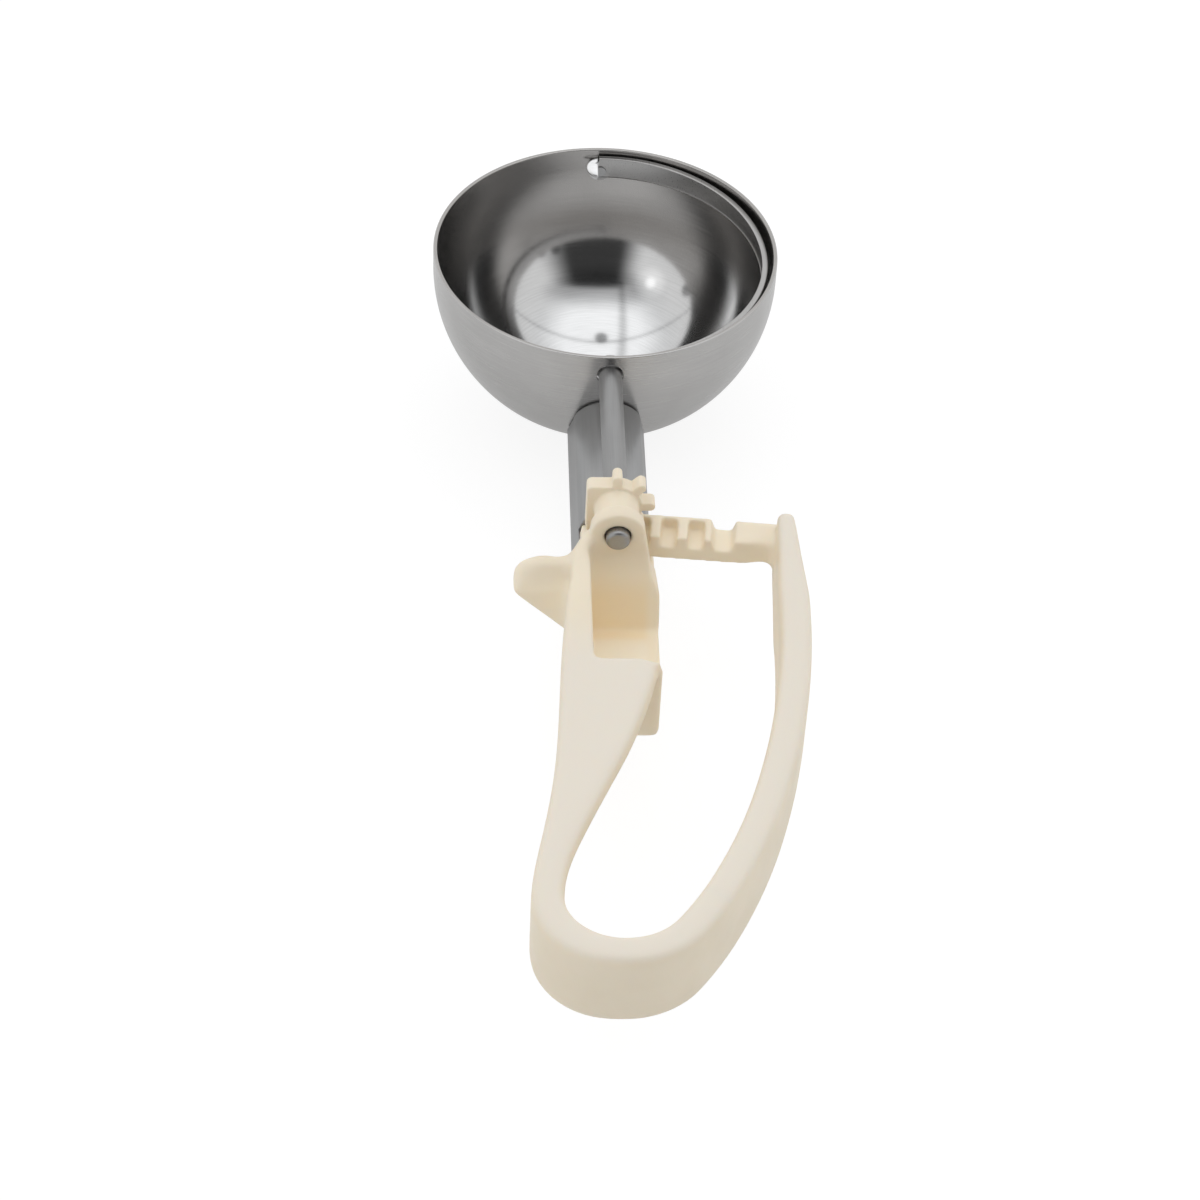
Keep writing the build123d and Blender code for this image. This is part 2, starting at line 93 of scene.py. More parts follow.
def aim_camera():
    """Camera at the photograph's angle, turned so that the origin falls on its own pixel."""
    back = Vector((
        sin(view_azimuth) * cos(view_elevation),
        -cos(view_azimuth) * cos(view_elevation),
        sin(view_elevation),
    ))
    right = (-back).cross(Vector((0, 0, 1))).normalized()
    up = right.cross(-back)
    level = Matrix((right, up, -back))
    roll = Matrix.Rotation(-view_roll, 3, "Z")
    middle = image_size / 2
    seen_at = Vector((
        (rim_centre_pixel[0] - middle) / focal_length,
        (middle - rim_centre_pixel[1]) / focal_length,
        1,
    ))
    turn = Vector((0, 0, 1)).rotation_difference(seen_at).to_matrix()
    axes = turn @ roll @ level
    lens = bpy.data.cameras.new("camera")
    lens.sensor_width = sensor_width
    lens.lens = focal_length / image_size * sensor_width
    lens.clip_start = 10 * mm
    lens.clip_end = 20
    camera = bpy.data.objects.new("camera", lens)
    bpy.context.scene.collection.objects.link(camera)
    facing = Matrix((axes[0], axes[1], -axes[2])).transposed().to_4x4()
    camera.matrix_world = Matrix.Translation(back * view_distance) @ facing
    bpy.context.scene.camera = camera


aim_camera()

# ---------------------------------------------------------------- sizes taken from the frame
joints = {joint["name"]: joint for joint in frame["joints"]}
hinge = Vector(joints["arm_squeeze"]["pos_m"])
shaft_axis = Vector(joints["blade_sweep"]["pos_m"])
bowl_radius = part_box("bowl")[1].x
rod_low, rod_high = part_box("blade_shaft")
rod_radius = (rod_high.x - rod_low.x) / 2
blade_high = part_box("scraper_blade")[1]
pin_low, pin_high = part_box("pivot_pin")
shank_low, shank_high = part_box("shank")


# ---------------------------------------------------------------- mesh helpers
def linked(name, mesh):
    """A new object that holds this mesh."""
    made = bpy.data.objects.new(name, mesh)
    bpy.context.scene.collection.objects.link(made)
    return made


def meshed(name, work):
    """A mesh made of a bmesh, which is freed."""
    made = bpy.data.meshes.new(name)
    work.to_mesh(made)
    work.free()
    return made


def applied(body):
    """The object with its modifiers turned into mesh."""
    graph = bpy.context.evaluated_depsgraph_get()
    mesh = bpy.data.meshes.new_from_object(body.evaluated_get(graph), depsgraph=graph)
    old = body.data
    body.modifiers.clear()
    body.data = mesh
    bpy.data.meshes.remove(old)
    return body


def combined(body, other, operation):
    """The body with another object added to it or cut out of it."""
    join = body.modifiers.new("join", "BOOLEAN")
    join.operation = operation
    join.solver = "MANIFOLD"
    join.object = other
    applied(body)
    bpy.data.objects.remove(other)
    return body


def copy_of(node):
    """A bmesh of a CAD node with its doubled points welded."""
    made = bmesh.new()
    made.from_mesh(frame["nodes"][node].data)
    bmesh.ops.remove_doubles(made, verts=made.verts, dist=0.0005 * mm)
    return made


def points_of(mesh):
    flat = np.empty(len(mesh.vertices) * 3)
    mesh.vertices.foreach_get("co", flat)
    return flat.reshape(-1, 3)


def put_points(mesh, points):
    mesh.vertices.foreach_set("co", np.asarray(points, float).ravel())
    mesh.update()


def skinned(name, parts, voxel, cuts=()):
    """The union of the given bmeshes less the cuts, with one closed skin of small quads."""
    body = linked(name, meshed(name, parts[0]))
    for part in parts[1:]:
        combined(body, linked("part", meshed("part", part)), "UNION")
    for cut in cuts:
        combined(body, linked("cut", meshed("cut", cut)), "DIFFERENCE")
    remesh = body.modifiers.new("skin", "REMESH")
    remesh.mode = "VOXEL"
    remesh.voxel_size = voxel
    return applied(body)


def soften(mesh, strength, passes):
    """Rounds edges and corners: each pass moves a point towards its neighbours' mean."""
    points = points_of(mesh)
    pairs = np.empty(len(mesh.edges) * 2, np.int64)
    mesh.edges.foreach_get("vertices", pairs)
    first, second = pairs.reshape(-1, 2).T
    count = len(points)
    share = (strength(points) / (np.bincount(first, minlength=count)
                                 + np.bincount(second, minlength=count)))[:, None]
    for _ in range(passes):
        pull = points[second] - points[first]
        moved = np.stack([
            np.bincount(first, pull[:, k], count) - np.bincount(second, pull[:, k], count)
            for k in range(3)
        ], axis=1)
        points = points + share * moved
    put_points(mesh, points)


def step(values, low, high):
    """0 below low, 1 above high, smooth between; low above high turns it round."""
    t = np.clip((values - low) / (high - low), 0, 1)
    return t * t * (3 - 2 * t)


def shade(body, *materials, sharp_angle=None):
    """Smooth shading, with edges over the angle left sharp, and the materials."""
    mesh = body.data
    mesh.polygons.foreach_set("use_smooth", [True] * len(mesh.polygons))
    if sharp_angle is not None:
        mesh.set_sharp_from_angle(angle=radians(sharp_angle))
    mesh.materials.clear()
    for material in materials:
        mesh.materials.append(material)


def rows_mesh(rows):
    """A closed bmesh through rows of points; each row closes on itself, or is one end point."""
    work = bmesh.new()
    made = [[work.verts.new(point) for point in row] for row in rows]
    for one, two in zip(made, made[1:]):
        count = max(len(one), len(two))
        for k in range(count):
            corners = [
                one[k % len(one)],
                one[(k + 1) % len(one)],
                two[(k + 1) % len(two)],
                two[k % len(two)],
            ]
            work.faces.new(list(dict.fromkeys(corners)))
    for row in (made[0], made[-1]):
        if len(row) > 2:
            work.faces.new(row)
    bmesh.ops.recalc_face_normals(work, faces=work.faces)
    return work


def closed_rows(name, rows):
    return linked(name, meshed(name, rows_mesh(rows)))


def around(outline, segments, place):
    """Rows of a turned shape: outline holds (radius, along) pairs from end to end."""
    rows = []
    for radius, along in outline:
        if radius == 0:
            rows.append([place(0, 0, along)])
            continue
        rows.append([
            place(radius * cos(tau * k / segments), radius * sin(tau * k / segments), along)
            for k in range(segments)
        ])
    return rows


def on_shaft(a, b, along):
    """Place on the shaft's axis, with along measured along Y."""
    return Vector((a, along, b + shaft_axis.z))


def cylinder_rows(radius, ends, segments):
    """Rows of a plain cylinder on the shaft's axis, between two ends along Y."""
    near, far = ends
    return around([(0, near), (radius, near), (radius, far), (0, far)], segments, on_shaft)


def quarter(size, steps=4):
    """Pairs (depth, back) round an edge, from the sheet's end to its face."""
    turns = [tau / 4 * k / steps for k in range(steps + 1)]
    return [(size * (1 - sin(turn)), size * (1 - cos(turn))) for turn in turns]


def corner_round(radius, along, size, turn_in, turn_out, steps=4):
    """Points of a rounded corner at (radius, along); the two turns are its directions."""
    start = Vector((radius, along)) - Vector(turn_in) * size
    points = []
    for k in range(steps + 1):
        angle = k / steps * tau / 4
        points.append(tuple(start + Vector(turn_in) * size * sin(angle)
                            + Vector(turn_out) * size * (1 - cos(angle))))
    return points


# ---------------------------------------------------------------- material helpers
class Graph:
    """Shader nodes added to a tree, one short call each."""

    def __init__(self, tree):
        self.tree = tree

    def add(self, kind, inputs=(), **settings):
        made = self.tree.nodes.new("ShaderNode" + kind)
        for key, value in settings.items():
            setattr(made, key, value)
        for socket, value in dict(inputs).items():
            if isinstance(value, bpy.types.NodeSocket):
                self.tree.links.new(value, made.inputs[socket])
            else:
                made.inputs[socket].default_value = value
        return made.outputs

    def math(self, operation, *values):
        return self.add("Math", enumerate(values), operation=operation)[0]

    def product(self, first, *others):
        """Several values multiplied with one another."""
        for other in others:
            first = self.math("MULTIPLY", first, other)
        return first

    def split(self, vector):
        parts = self.add("SeparateXYZ", {0: vector})
        return parts[0], parts[1], parts[2]

    def join(self, *values):
        return self.add("CombineXYZ", enumerate(values))[0]

    def noise(self, vector, scale, detail=2.0, roughness=0.5):
        return self.add("TexNoise", {
            "Vector": vector, "Scale": scale, "Detail": detail, "Roughness": roughness,
        })["Fac"]

    def between(self, value, low, high, source=(0.3, 0.7), kind="LINEAR"):
        """Maps a value from the source range onto the range from low to high."""
        return self.add("MapRange", {
            "Value": value, "From Min": source[0], "From Max": source[1],
            "To Min": low, "To Max": high,
        }, interpolation_type=kind)["Result"]

    def ramp(self, value, low, high):
        """0 below low, 1 above high, smooth between; low above high turns it round."""
        return self.between(value, 0.0, 1.0, source=(low, high), kind="SMOOTHSTEP")

    def band(self, value, low, high, soft):
        """1 between low and high, 0 outside, with soft borders."""
        rise = self.ramp(value, low - soft, low + soft)
        fall = self.ramp(value, high - soft, high + soft)
        return self.math("SUBTRACT", rise, fall)

    def colours(self, value, dark, light):
        """A colour between two colours or colour sockets, chosen by a value from 0 to 1."""
        made = self.tree.nodes.new("ShaderNodeMix")
        made.data_type = "RGBA"
        self.tree.links.new(value, made.inputs[0])
        for socket, colour in ((made.inputs[6], dark), (made.inputs[7], light)):
            if isinstance(colour, bpy.types.NodeSocket):
                self.tree.links.new(colour, socket)
            else:
                socket.default_value = (*colour, 1)
        return made.outputs[2]


class Finish(Graph):
    """A material made of nodes around one Principled shader."""

    def __init__(self, name, **sockets):
        self.material = bpy.data.materials.new(name)
        self.material.use_nodes = True
        super().__init__(self.material.node_tree)
        self.shader = self.tree.nodes["Principled BSDF"]
        for socket, value in sockets.items():
            self.shader.inputs[socket.replace("_", " ")].default_value = value
        self.place = self.add("TexCoord")["Object"]

    def drive(self, socket, value):
        self.tree.links.new(value, self.shader.inputs[socket])

    def bump(self, height, strength, distance, under=None):
        inputs = {"Height": height, "Strength": strength, "Distance": distance}
        if under is not None:
            inputs["Normal"] = under
        return self.add("Bump", inputs)["Normal"]


# the ivory's colours, linear: two random tones, then painted light for the recesses, the pocket
# and the top faces
ivory_shades = ((0.865, 0.765, 0.60), (0.90, 0.80, 0.635))
# painted light: a warm, lighter glow painted into the head's lower recesses and its pocket, for
# light bounced in the shade
ivory_recess_glow = (0.975, 0.865, 0.685)
ivory_pocket_wall_glow = (0.97, 0.815, 0.585)
ivory_pocket_floor_glow = (0.975, 0.885, 0.725)
# painted light: the top faces of the grip and the arm painted paler, as lit from above
ivory_top_light = (0.835, 0.770, 0.668)
# and where each is seen: across in X, along in Y and level in Z. Two numbers say where it begins
# and where it is full, and three give its low end, its high end and their softness.
# the painted glow in the head's lower recesses
recess_glow_along = (-150 * mm, -118 * mm)
recess_glow_level = (-8 * mm, -14 * mm)
# the painted glow on the pocket's wall and floor
pocket_glow_across = (-8 * mm, 6 * mm, 1 * mm)
pocket_wall_glow_along = (-89.5 * mm, -84 * mm, 1 * mm)
pocket_wall_glow_level = (-7 * mm, -12 * mm)
pocket_floor_glow_along = (-114 * mm, -91 * mm, 1.5 * mm)
pocket_floor_glow_level = (-6.5 * mm, -8.5 * mm)
# the painted paler top faces
top_light_along = (-96 * mm, -116 * mm)
top_light_across = (22 * mm, 27 * mm)
top_light_level = (-7.2 * mm, -5.4 * mm)


def ivory_plastic():
    """Satin moulded plastic with a very fine grain. Painted light: its top faces on the grip and
    the arm are painted paler, as lit from above, and the head's recesses and pocket get a warm
    painted glow of light bounced in the shade."""
    finish = Finish(
        "ivory_plastic",
        Roughness=0.42,
        Subsurface_Weight=0.12,
        Subsurface_Radius=(1.0, 0.5, 0.22),
        Subsurface_Scale=1.0 * mm,
        Specular_IOR_Level=0.42,
    )
    cloud = finish.ramp(finish.noise(finish.place, 90.0, detail=3.0), 0.3, 0.7)
    colour = finish.colours(cloud, *ivory_shades)
    x, y, z = finish.split(finish.place)
    # painted light: warm glow painted into the head's recesses and its pocket, where they lie in
    # shade
    recess_glow = finish.product(finish.ramp(y, *recess_glow_along), finish.ramp(z, *recess_glow_level))
    wall_glow = finish.product(finish.band(x, *pocket_glow_across), finish.band(y, *pocket_wall_glow_along),
                             finish.ramp(z, *pocket_wall_glow_level))
    floor_glow = finish.product(finish.band(x, *pocket_glow_across), finish.band(y, *pocket_floor_glow_along),
                              finish.ramp(z, *pocket_floor_glow_level))
    # painted light: top faces of the grip and the arm painted paler, as lit from above
    top_light_region = finish.math("MAXIMUM", finish.ramp(y, *top_light_along), finish.ramp(x, *top_light_across))
    top_light = finish.product(top_light_region, finish.ramp(z, *top_light_level))
    for mask, tint in ((recess_glow, ivory_recess_glow), (wall_glow, ivory_pocket_wall_glow),
                       (floor_glow, ivory_pocket_floor_glow), (top_light, ivory_top_light)):
        colour = finish.colours(mask, colour, tint)
    finish.drive("Base Color", colour)
    grain = finish.noise(finish.place, 5200.0, detail=1.0)
    swirl = finish.noise(finish.place, 420.0, detail=2.0)
    finish.drive("Roughness", finish.between(swirl, 0.38, 0.47))
    soft = finish.bump(swirl, 0.10, 0.05 * mm)
    finish.drive("Normal", finish.bump(grain, 0.12, 0.01 * mm, under=soft))
    return finish.material


def steel(name, streak_place, tone, rough, streak_bump, warm=0.0, upper=None):
    """Brushed steel: streak_place stretches space along the brushing. Upper gives the tone, the
    roughness and the warmth of the bowl's wall above its polished bottom."""
    finish = Finish(name, Metallic=1.0, Roughness=rough)
    streaks = finish.noise(streak_place(finish), 1.0, detail=4.0, roughness=0.6)
    clouds = finish.noise(finish.place, 130.0, detail=2.0)
    mixed = finish.ramp(finish.math("ADD", finish.math("MULTIPLY", streaks, 0.7),
                                    finish.math("MULTIPLY", clouds, 0.3)), 0.32, 0.68)

    def toned(middle, warmth):
        dark, light = [tuple(middle * share * k for k in (1 + warmth, 1.0, 1 - warmth))
                       for share in (0.94, 1.05)]
        return finish.colours(mixed, dark, light)

    colour = toned(tone, warm)
    roughness = finish.between(streaks, rough * 0.88, rough * 1.14)
    if upper is not None:
        upper_tone, upper_rough, upper_warm = upper
        high = finish.ramp(finish.split(finish.place)[2], *polish_fade)
        colour = finish.colours(high, colour, toned(upper_tone, upper_warm))
        roughness = finish.math("ADD", roughness, finish.math(
            "MULTIPLY", high, upper_rough - rough))
    finish.drive("Base Color", colour)
    finish.drive("Roughness", roughness)
    finish.drive("Normal", finish.bump(streaks, streak_bump, 0.02 * mm))
    return finish.material


streaks_across, streaks_along = 3200.0, 60.0     # how fine the brushing is, per metre
rings_round, rings_up = 2.2, 150.0               # on the bowl: round it, and up it per radian


def along_y(finish):
    """Streaks that run along the handle."""
    x, y, z = finish.split(finish.place)
    return finish.join(
        finish.math("MULTIPLY", x, streaks_across),
        finish.math("MULTIPLY", y, streaks_along),
        finish.math("MULTIPLY", z, streaks_across),
    )


def spun(finish):
    """Streaks that run round the bowl, as spinning and polishing leave them."""
    x, y, z = finish.split(finish.place)
    squared = finish.math("ADD", finish.product(x, x), finish.product(y, y))
    radius = finish.math("SQRT", squared)
    polar = finish.math("ARCTAN2", radius, finish.math("SUBTRACT", shaft_axis.z, z))
    return finish.join(
        finish.math("MULTIPLY", finish.math("DIVIDE", x, radius), rings_round),
        finish.math("MULTIPLY", finish.math("DIVIDE", y, radius), rings_round),
        finish.math("MULTIPLY", polar, rings_up),
    )


# ---------------------------------------------------------------- the shank's section
shank_radius = 6.65 * mm
shank_thickness = 1.2 * mm
shank_flare = radians(10)
shank_knee = Vector((
    shank_radius * cos(shank_flare),
    shank_high.z - shank_radius + shank_radius * sin(shank_flare),
))


def leg_x(height):
    """How far out the leg's outer face lies at a height below the arch."""
    return shank_knee.x + (shank_knee.y - height) * tan(shank_flare)


# ---------------------------------------------------------------- the ivory moulding
handle_voxel = 0.33 * mm
arm_voxel = 0.28 * mm
seam_point = Vector((13.85 * mm, -168.55 * mm, 0))     # on the arm, past its first bend
seam_heading = radians(58.5)                           # the arm's direction there
seam_normal = Vector((cos(seam_heading), sin(seam_heading), 0))
arm_side_x = 9.5 * mm                                  # between the grip and the arm
bridge_reach = 2.2 * mm                                # fills the frame's slit at the hinge
bridge_round = 1.45 * mm
strap_half = 2.9 * mm
arm_outer_radius = 16.7 * mm                           # of the bends beside the hinge
arm_inner_radius = 10.9 * mm
grip_inner_radius = 10.6 * mm
prong_growth = 0.1 * mm                                # closes the frame's gap round the prongs
bore_room = 0.22 * mm                                  # between the rod and the visual bore
bore_ends = (-90 * mm, -77.9 * mm)
handle_passes = (44, 94)                               # of softening, all over and about places
arm_passes = (60, 130)
gear_passes = 40

# how much one pass rounds each region's edges, from 0 to 0.5
head_strength = 0.10
grip_strength = 0.22
loop_strength = 0.5
rest_strength = 0.30
arm_tip_strength = 0.18
rack_strength = 0.09
gear_strength = 0.12
soft_place_strength = 0.5
soft_place_core = 0.4                                  # share of its reach that gets it in full
# and where each region begins and is full, in millimetres: along in Y, across in X
grip_along = (-84, -116)
loop_along = (-130, -150)
arm_across = (9.4, 10.4)
rest_along = (-100, -92)
rest_across = (-8.2, -9.6)
arm_tip_along = (-84, -78)
rack_along = (-86, -82)
rack_across = (25.5, 22.0)


def moulding_strength(points):
    """Little rounding on the head, more on the grip and most on the loop and the arm."""
    x, y, _ = (points / mm).T
    amount = head_strength + (grip_strength - head_strength) * step(y, *grip_along)
    amount += (loop_strength - grip_strength) * step(y, *loop_along)
    on_arm = step(x, *arm_across)
    amount = amount * (1 - on_arm) + loop_strength * on_arm
    on_rest = step(x, *rest_across) * step(y, *rest_along)
    return np.maximum(amount, rest_strength * on_rest)


def arm_strength(points):
    """Much rounding on the arm, less at its tip and little on the rack."""
    x, y, _ = (points / mm).T
    on_rack = step(x, *rack_across) * step(y, *rack_along)
    arm = loop_strength - (loop_strength - arm_tip_strength) * step(y, *arm_tip_along)
    return arm * (1 - on_rack) + rack_strength * on_rack


def about(places):
    """Strength of a second round of passes, which rounds the moulding further about a few places:
    each has a centre and a reach in millimetres."""
    def strength(points):
        amount = np.zeros(len(points))
        for centre, reach in places:
            distance = np.linalg.norm(points / mm - np.array(centre), axis=1)
            nearness = step(distance, reach, soft_place_core * reach)
            amount = np.maximum(amount, soft_place_strength * nearness)
        return amount
    return strength


handle_soft_places = [
    ((-7.4, -80.0, -6.5), 4.5),      # left shoulder of the head
    ((-8.4, -83.5, -8.0), 5.0),      # its root on the thumb rest
    ((6.6, -113.5, -5.5), 3.5),      # corner between the pocket and the grip's right edge
    ((-9.0, -90.0, -15.0), 6.0),     # lower root of the thumb rest
    ((-19.0, -85.0, -9.0), 5.0),     # tip of the thumb rest
]
arm_soft_places = [
    ((29.6, -78.5, -13.0), 5.5),     # inside corner between the rack and the arm
]


def hinge_bridge():
    """A short stretch of the strap across the hinge, where the frame has its slit."""
    low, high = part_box("return_loop")
    steps = 12
    corner_steps = 5
    rows = []
    for k in range(steps + 1):
        dx = bridge_reach * (2 * k / steps - 1)
        outer = -strap_half + max(dx, 0) ** 2 / (2 * arm_outer_radius)
        inner_radius = arm_inner_radius if dx > 0 else grip_inner_radius
        inner = strap_half + dx * dx / (2 * inner_radius)
        row = []
        for side, level in ((inner, high.z), (outer, high.z), (outer, low.z), (inner, low.z)):
            into = 1 if side == outer else -1
            drop = 1 if level == low.z else -1
            turns = [tau / 4 * t / corner_steps for t in range(corner_steps + 1)]
            if (side == inner) != (level == low.z):
                turns = turns[::-1]
            for turn in turns:
                row.append(Vector((
                    hinge.x + dx,
                    hinge.y + side + into * bridge_round * (1 - sin(turn)),
                    level + drop * bridge_round * (1 - cos(turn)),
                )))
        rows.append(row)
    return rows_mesh(rows)


def cut_at_seam(body, keep_arm):
    """Cuts the arm across its bend and closes the cut; keeps one side."""
    mesh = bmesh.new()
    mesh.from_mesh(body.data)
    arm_faces = [f for f in mesh.faces if keep_arm or f.calc_center_median().x > arm_side_x]
    arm_points = {v for f in arm_faces for v in f.verts}
    arm_edges = {e for f in arm_faces for e in f.edges}
    bmesh.ops.bisect_plane(
        mesh,
        geom=[*arm_faces, *arm_points, *arm_edges],
        plane_co=seam_point,
        plane_no=seam_normal,
        dist=1e-7,
    )
    doomed = []
    for face in mesh.faces:
        middle = face.calc_center_median()
        beyond = (middle - seam_point).dot(seam_normal) > 0 and (keep_arm or middle.x > arm_side_x)
        if beyond != keep_arm:
            doomed.append(face)
    bmesh.ops.delete(mesh, geom=doomed, context="FACES")
    rim = [e for e in mesh.edges if e.is_boundary]
    filled = bmesh.ops.holes_fill(mesh, edges=rim, sides=0)["faces"]
    for face in filled:
        for edge in face.edges:
            edge.smooth = False
    mesh.to_mesh(body.data)
    mesh.free()


def round_bore(mesh):
    """Opens the bearing wall's bore to a true circle, a little wider than the rod."""
    bore_radius = rod_radius + bore_room
    points = points_of(mesh)
    dx = points[:, 0] - shaft_axis.x
    dz = points[:, 2] - shaft_axis.z
    radius = np.hypot(dx, dz)
    near, far = bore_ends
    inside = (radius < bore_radius) & (points[:, 1] > near) & (points[:, 1] < far)
    grow = np.where(inside, bore_radius / np.maximum(radius, 1e-9), 1.0)
    points[:, 0] = shaft_axis.x + dx * grow
    points[:, 2] = shaft_axis.z + dz * grow
    put_points(mesh, points)


def bevel(low, high, on_plane, outward):
    """The part of a box that lies beyond a plane, to be cut off the moulding."""
    block = bmesh.new()
    bmesh.ops.create_cube(block, size=1)
    for point in block.verts:
        point.co = (low + high) / 2 + point.co * (high - low)
    cut = bmesh.ops.bisect_plane(
        block,
        geom=[*block.verts, *block.edges, *block.faces],
        plane_co=on_plane,
        plane_no=outward,
        clear_inner=True,
    )
    rim = [e for e in cut["geom_cut"] if isinstance(e, bmesh.types.BMEdge)]
    bmesh.ops.holes_fill(block, edges=rim, sides=0)
    bmesh.ops.recalc_face_normals(block, faces=block.faces)
    return block


def shoulder_cut():
    """Bevel of the head's left shoulder, beside the bearing wall."""
    heel = Vector((-8.4, -84, -5.5)) * mm
    toe = Vector((-5.8, -78, -5.5)) * mm
    foot = Vector((-8.4, -78, -13.5)) * mm
    return bevel(Vector((-12, -82.4, -16)) * mm, Vector((-3, -70, -5.2)) * mm,
                 heel, (toe - heel).cross(foot - heel).normalized())


def rest_cut():
    """Bevel that slopes the thumb rest towards the thumb."""
    ridge = Vector((0, -85.4, -7.4)) * mm
    foot = Vector((0, -89.3, -12.4)) * mm
    slope = foot - ridge
    return bevel(Vector((-22, -92, -16)) * mm, Vector((-8.9, -84, -5)) * mm,
                 ridge, Vector((0, slope.z, -slope.y)).normalized())


def leg_notch(side, slope):
    """What leaves the shank's leg bare on one side, up to the head's shoulder; the notch runs
    further along where it is shallow, by the slope."""
    bare = 0.3 * mm
    ends = (-77.0 * mm, -60.0 * mm)
    low = -23.7 * mm
    high = -15.0 * mm
    beyond = 12 * mm
    foot = leg_x(low) - bare
    top = leg_x(high) - bare
    outline = [(foot, low), (beyond, low), (beyond, high), (top, high)]
    return rows_mesh([
        [Vector((side * x, ends[0] - slope * (x - foot), z)) for x, z in outline],
        [Vector((side * x, ends[1], z)) for x, z in outline],
    ])


def handle_cuts():
    """What the look takes off the frame's moulding."""
    return [shoulder_cut(), rest_cut(), leg_notch(1, 8.0), leg_notch(-1, 0)]


def prong_filling():
    """Plastic around the shank's prongs: the frame's bed for them, closed."""
    filling = copy_of("shank")
    cut = bmesh.ops.bisect_plane(
        filling,
        geom=[*filling.verts, *filling.edges, *filling.faces],
        plane_co=(0, -66.4 * mm, 0),
        plane_no=(0, 1, 0),
        clear_outer=True,
    )
    rim = [e for e in cut["geom_cut"] if isinstance(e, bmesh.types.BMEdge)]
    bmesh.ops.holes_fill(filling, edges=rim, sides=0)
    bmesh.ops.recalc_face_normals(filling, faces=filling.faces)
    filling.normal_update()
    for point, normal in [(v, v.normal.copy()) for v in filling.verts]:
        point.co += normal * prong_growth
    return filling


ivory = ivory_plastic()


def handle_moulding():
    parts = [copy_of(n) for n in ("handle_grip", "handle_head", "thumb_rest")]
    parts += [copy_of("return_loop"), hinge_bridge(), copy_of("squeeze_arm"), prong_filling()]
    body = skinned("handle_moulding", parts, handle_voxel, cuts=handle_cuts())
    soften(body.data, moulding_strength, handle_passes[0])
    soften(body.data, about(handle_soft_places), handle_passes[1])
    round_bore(body.data)
    cut_at_seam(body, keep_arm=False)
    shade(body, ivory)
    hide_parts("handle_head", "thumb_rest", "handle_grip", "return_loop")
    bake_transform(body)


def arm_moulding():
    parts = [copy_of("squeeze_arm"), copy_of("gear_rack"), hinge_bridge()]
    body = skinned("arm_moulding", parts, arm_voxel)
    soften(body.data, arm_strength, arm_passes[0])
    soften(body.data, about(arm_soft_places), arm_passes[1])
    cut_at_seam(body, keep_arm=True)
    shade(body, ivory)
    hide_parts("squeeze_arm", "gear_rack")
    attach(body, "arm")


gear_voxel = 0.13 * mm


def drive_gear():
    """The gear with its bore filled, because the rod stands in it."""
    core_ends = (-77.0 * mm, -71.5 * mm)
    core_radius = rod_radius + 0.3 * mm
    core = rows_mesh(cylinder_rows(core_radius, core_ends, 48))
    body = skinned("gear_moulding", [copy_of("drive_gear"), core], gear_voxel)
    soften(body.data, lambda points: np.full(len(points), gear_strength), gear_passes)
    shade(body, ivory)
    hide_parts("drive_gear")
    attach(body, "blade")


handle_moulding()
arm_moulding()
drive_gear()

# ---------------------------------------------------------------- the steel bowl
bowl_wall = 0.8 * mm
bowl_inner = bowl_radius - bowl_wall
rim_round = 0.2 * mm
polish_fade = (-21 * mm, -15 * mm)   # heights between which the inside's polish fades
near_hole_radius = 2.65 * mm
far_hole_radius = 1.26 * mm
drilled = (30 * mm, 37 * mm)         # distances along Y, from the bowl's middle, that a drill cuts
straight_rim = -3.0 * mm             # the wall is straight from here to the rim


def quarter_bowl(radius, steps, down):
    """Outline of the hemisphere from the bottom up to its own centre's height, or down again."""
    angles = [tau / 4 * k / steps for k in range(steps + 1)]
    points = [(radius * sin(a), shaft_axis.z - radius * cos(a)) for a in angles]
    points[0] = (0, points[0][1])
    return points[::-1] if down else points


def bowl():
    rounds = 0.6 * rim_round
    outline = quarter_bowl(bowl_radius, 64, down=False)
    outline += [(bowl_radius, straight_rim), (bowl_radius, -rim_round - rounds)]
    outline += corner_round(bowl_radius, 0, rim_round, (0, 1), (-1, 0))
    outline += corner_round(bowl_inner, 0, rim_round, (-1, 0), (0, -1))
    outline += [(bowl_inner, -rim_round - rounds), (bowl_inner, straight_rim)]
    outline += quarter_bowl(bowl_inner, 64, down=True)
    body = closed_rows("bowl_shell", around(outline, 256, lambda a, b, c: Vector((a, b, c))))
    for radius, ends in ((near_hole_radius, (-drilled[1], -drilled[0])),
                         (far_hole_radius, drilled)):
        drill = closed_rows("drill", cylinder_rows(radius, ends, 64))
        combined(body, drill, "DIFFERENCE")
    outside = steel("bowl_satin", spun, tone=0.50, rough=0.25, streak_bump=0.022, warm=0.015)
    inside = steel("bowl_polished", spun, tone=0.62, rough=0.11, streak_bump=0.008,
                   upper=(0.43, 0.24, 0.03))
    shade(body, outside, inside, sharp_angle=35)
    middle_radius = bowl_radius - bowl_wall / 2
    for face in body.data.polygons:
        x, y, z = face.center
        height = min(z - shaft_axis.z, 0)
        if Vector((x, y, height)).length < middle_radius:
            face.material_index = 1
    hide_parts("bowl")
    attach(body, "handle")


bowl()

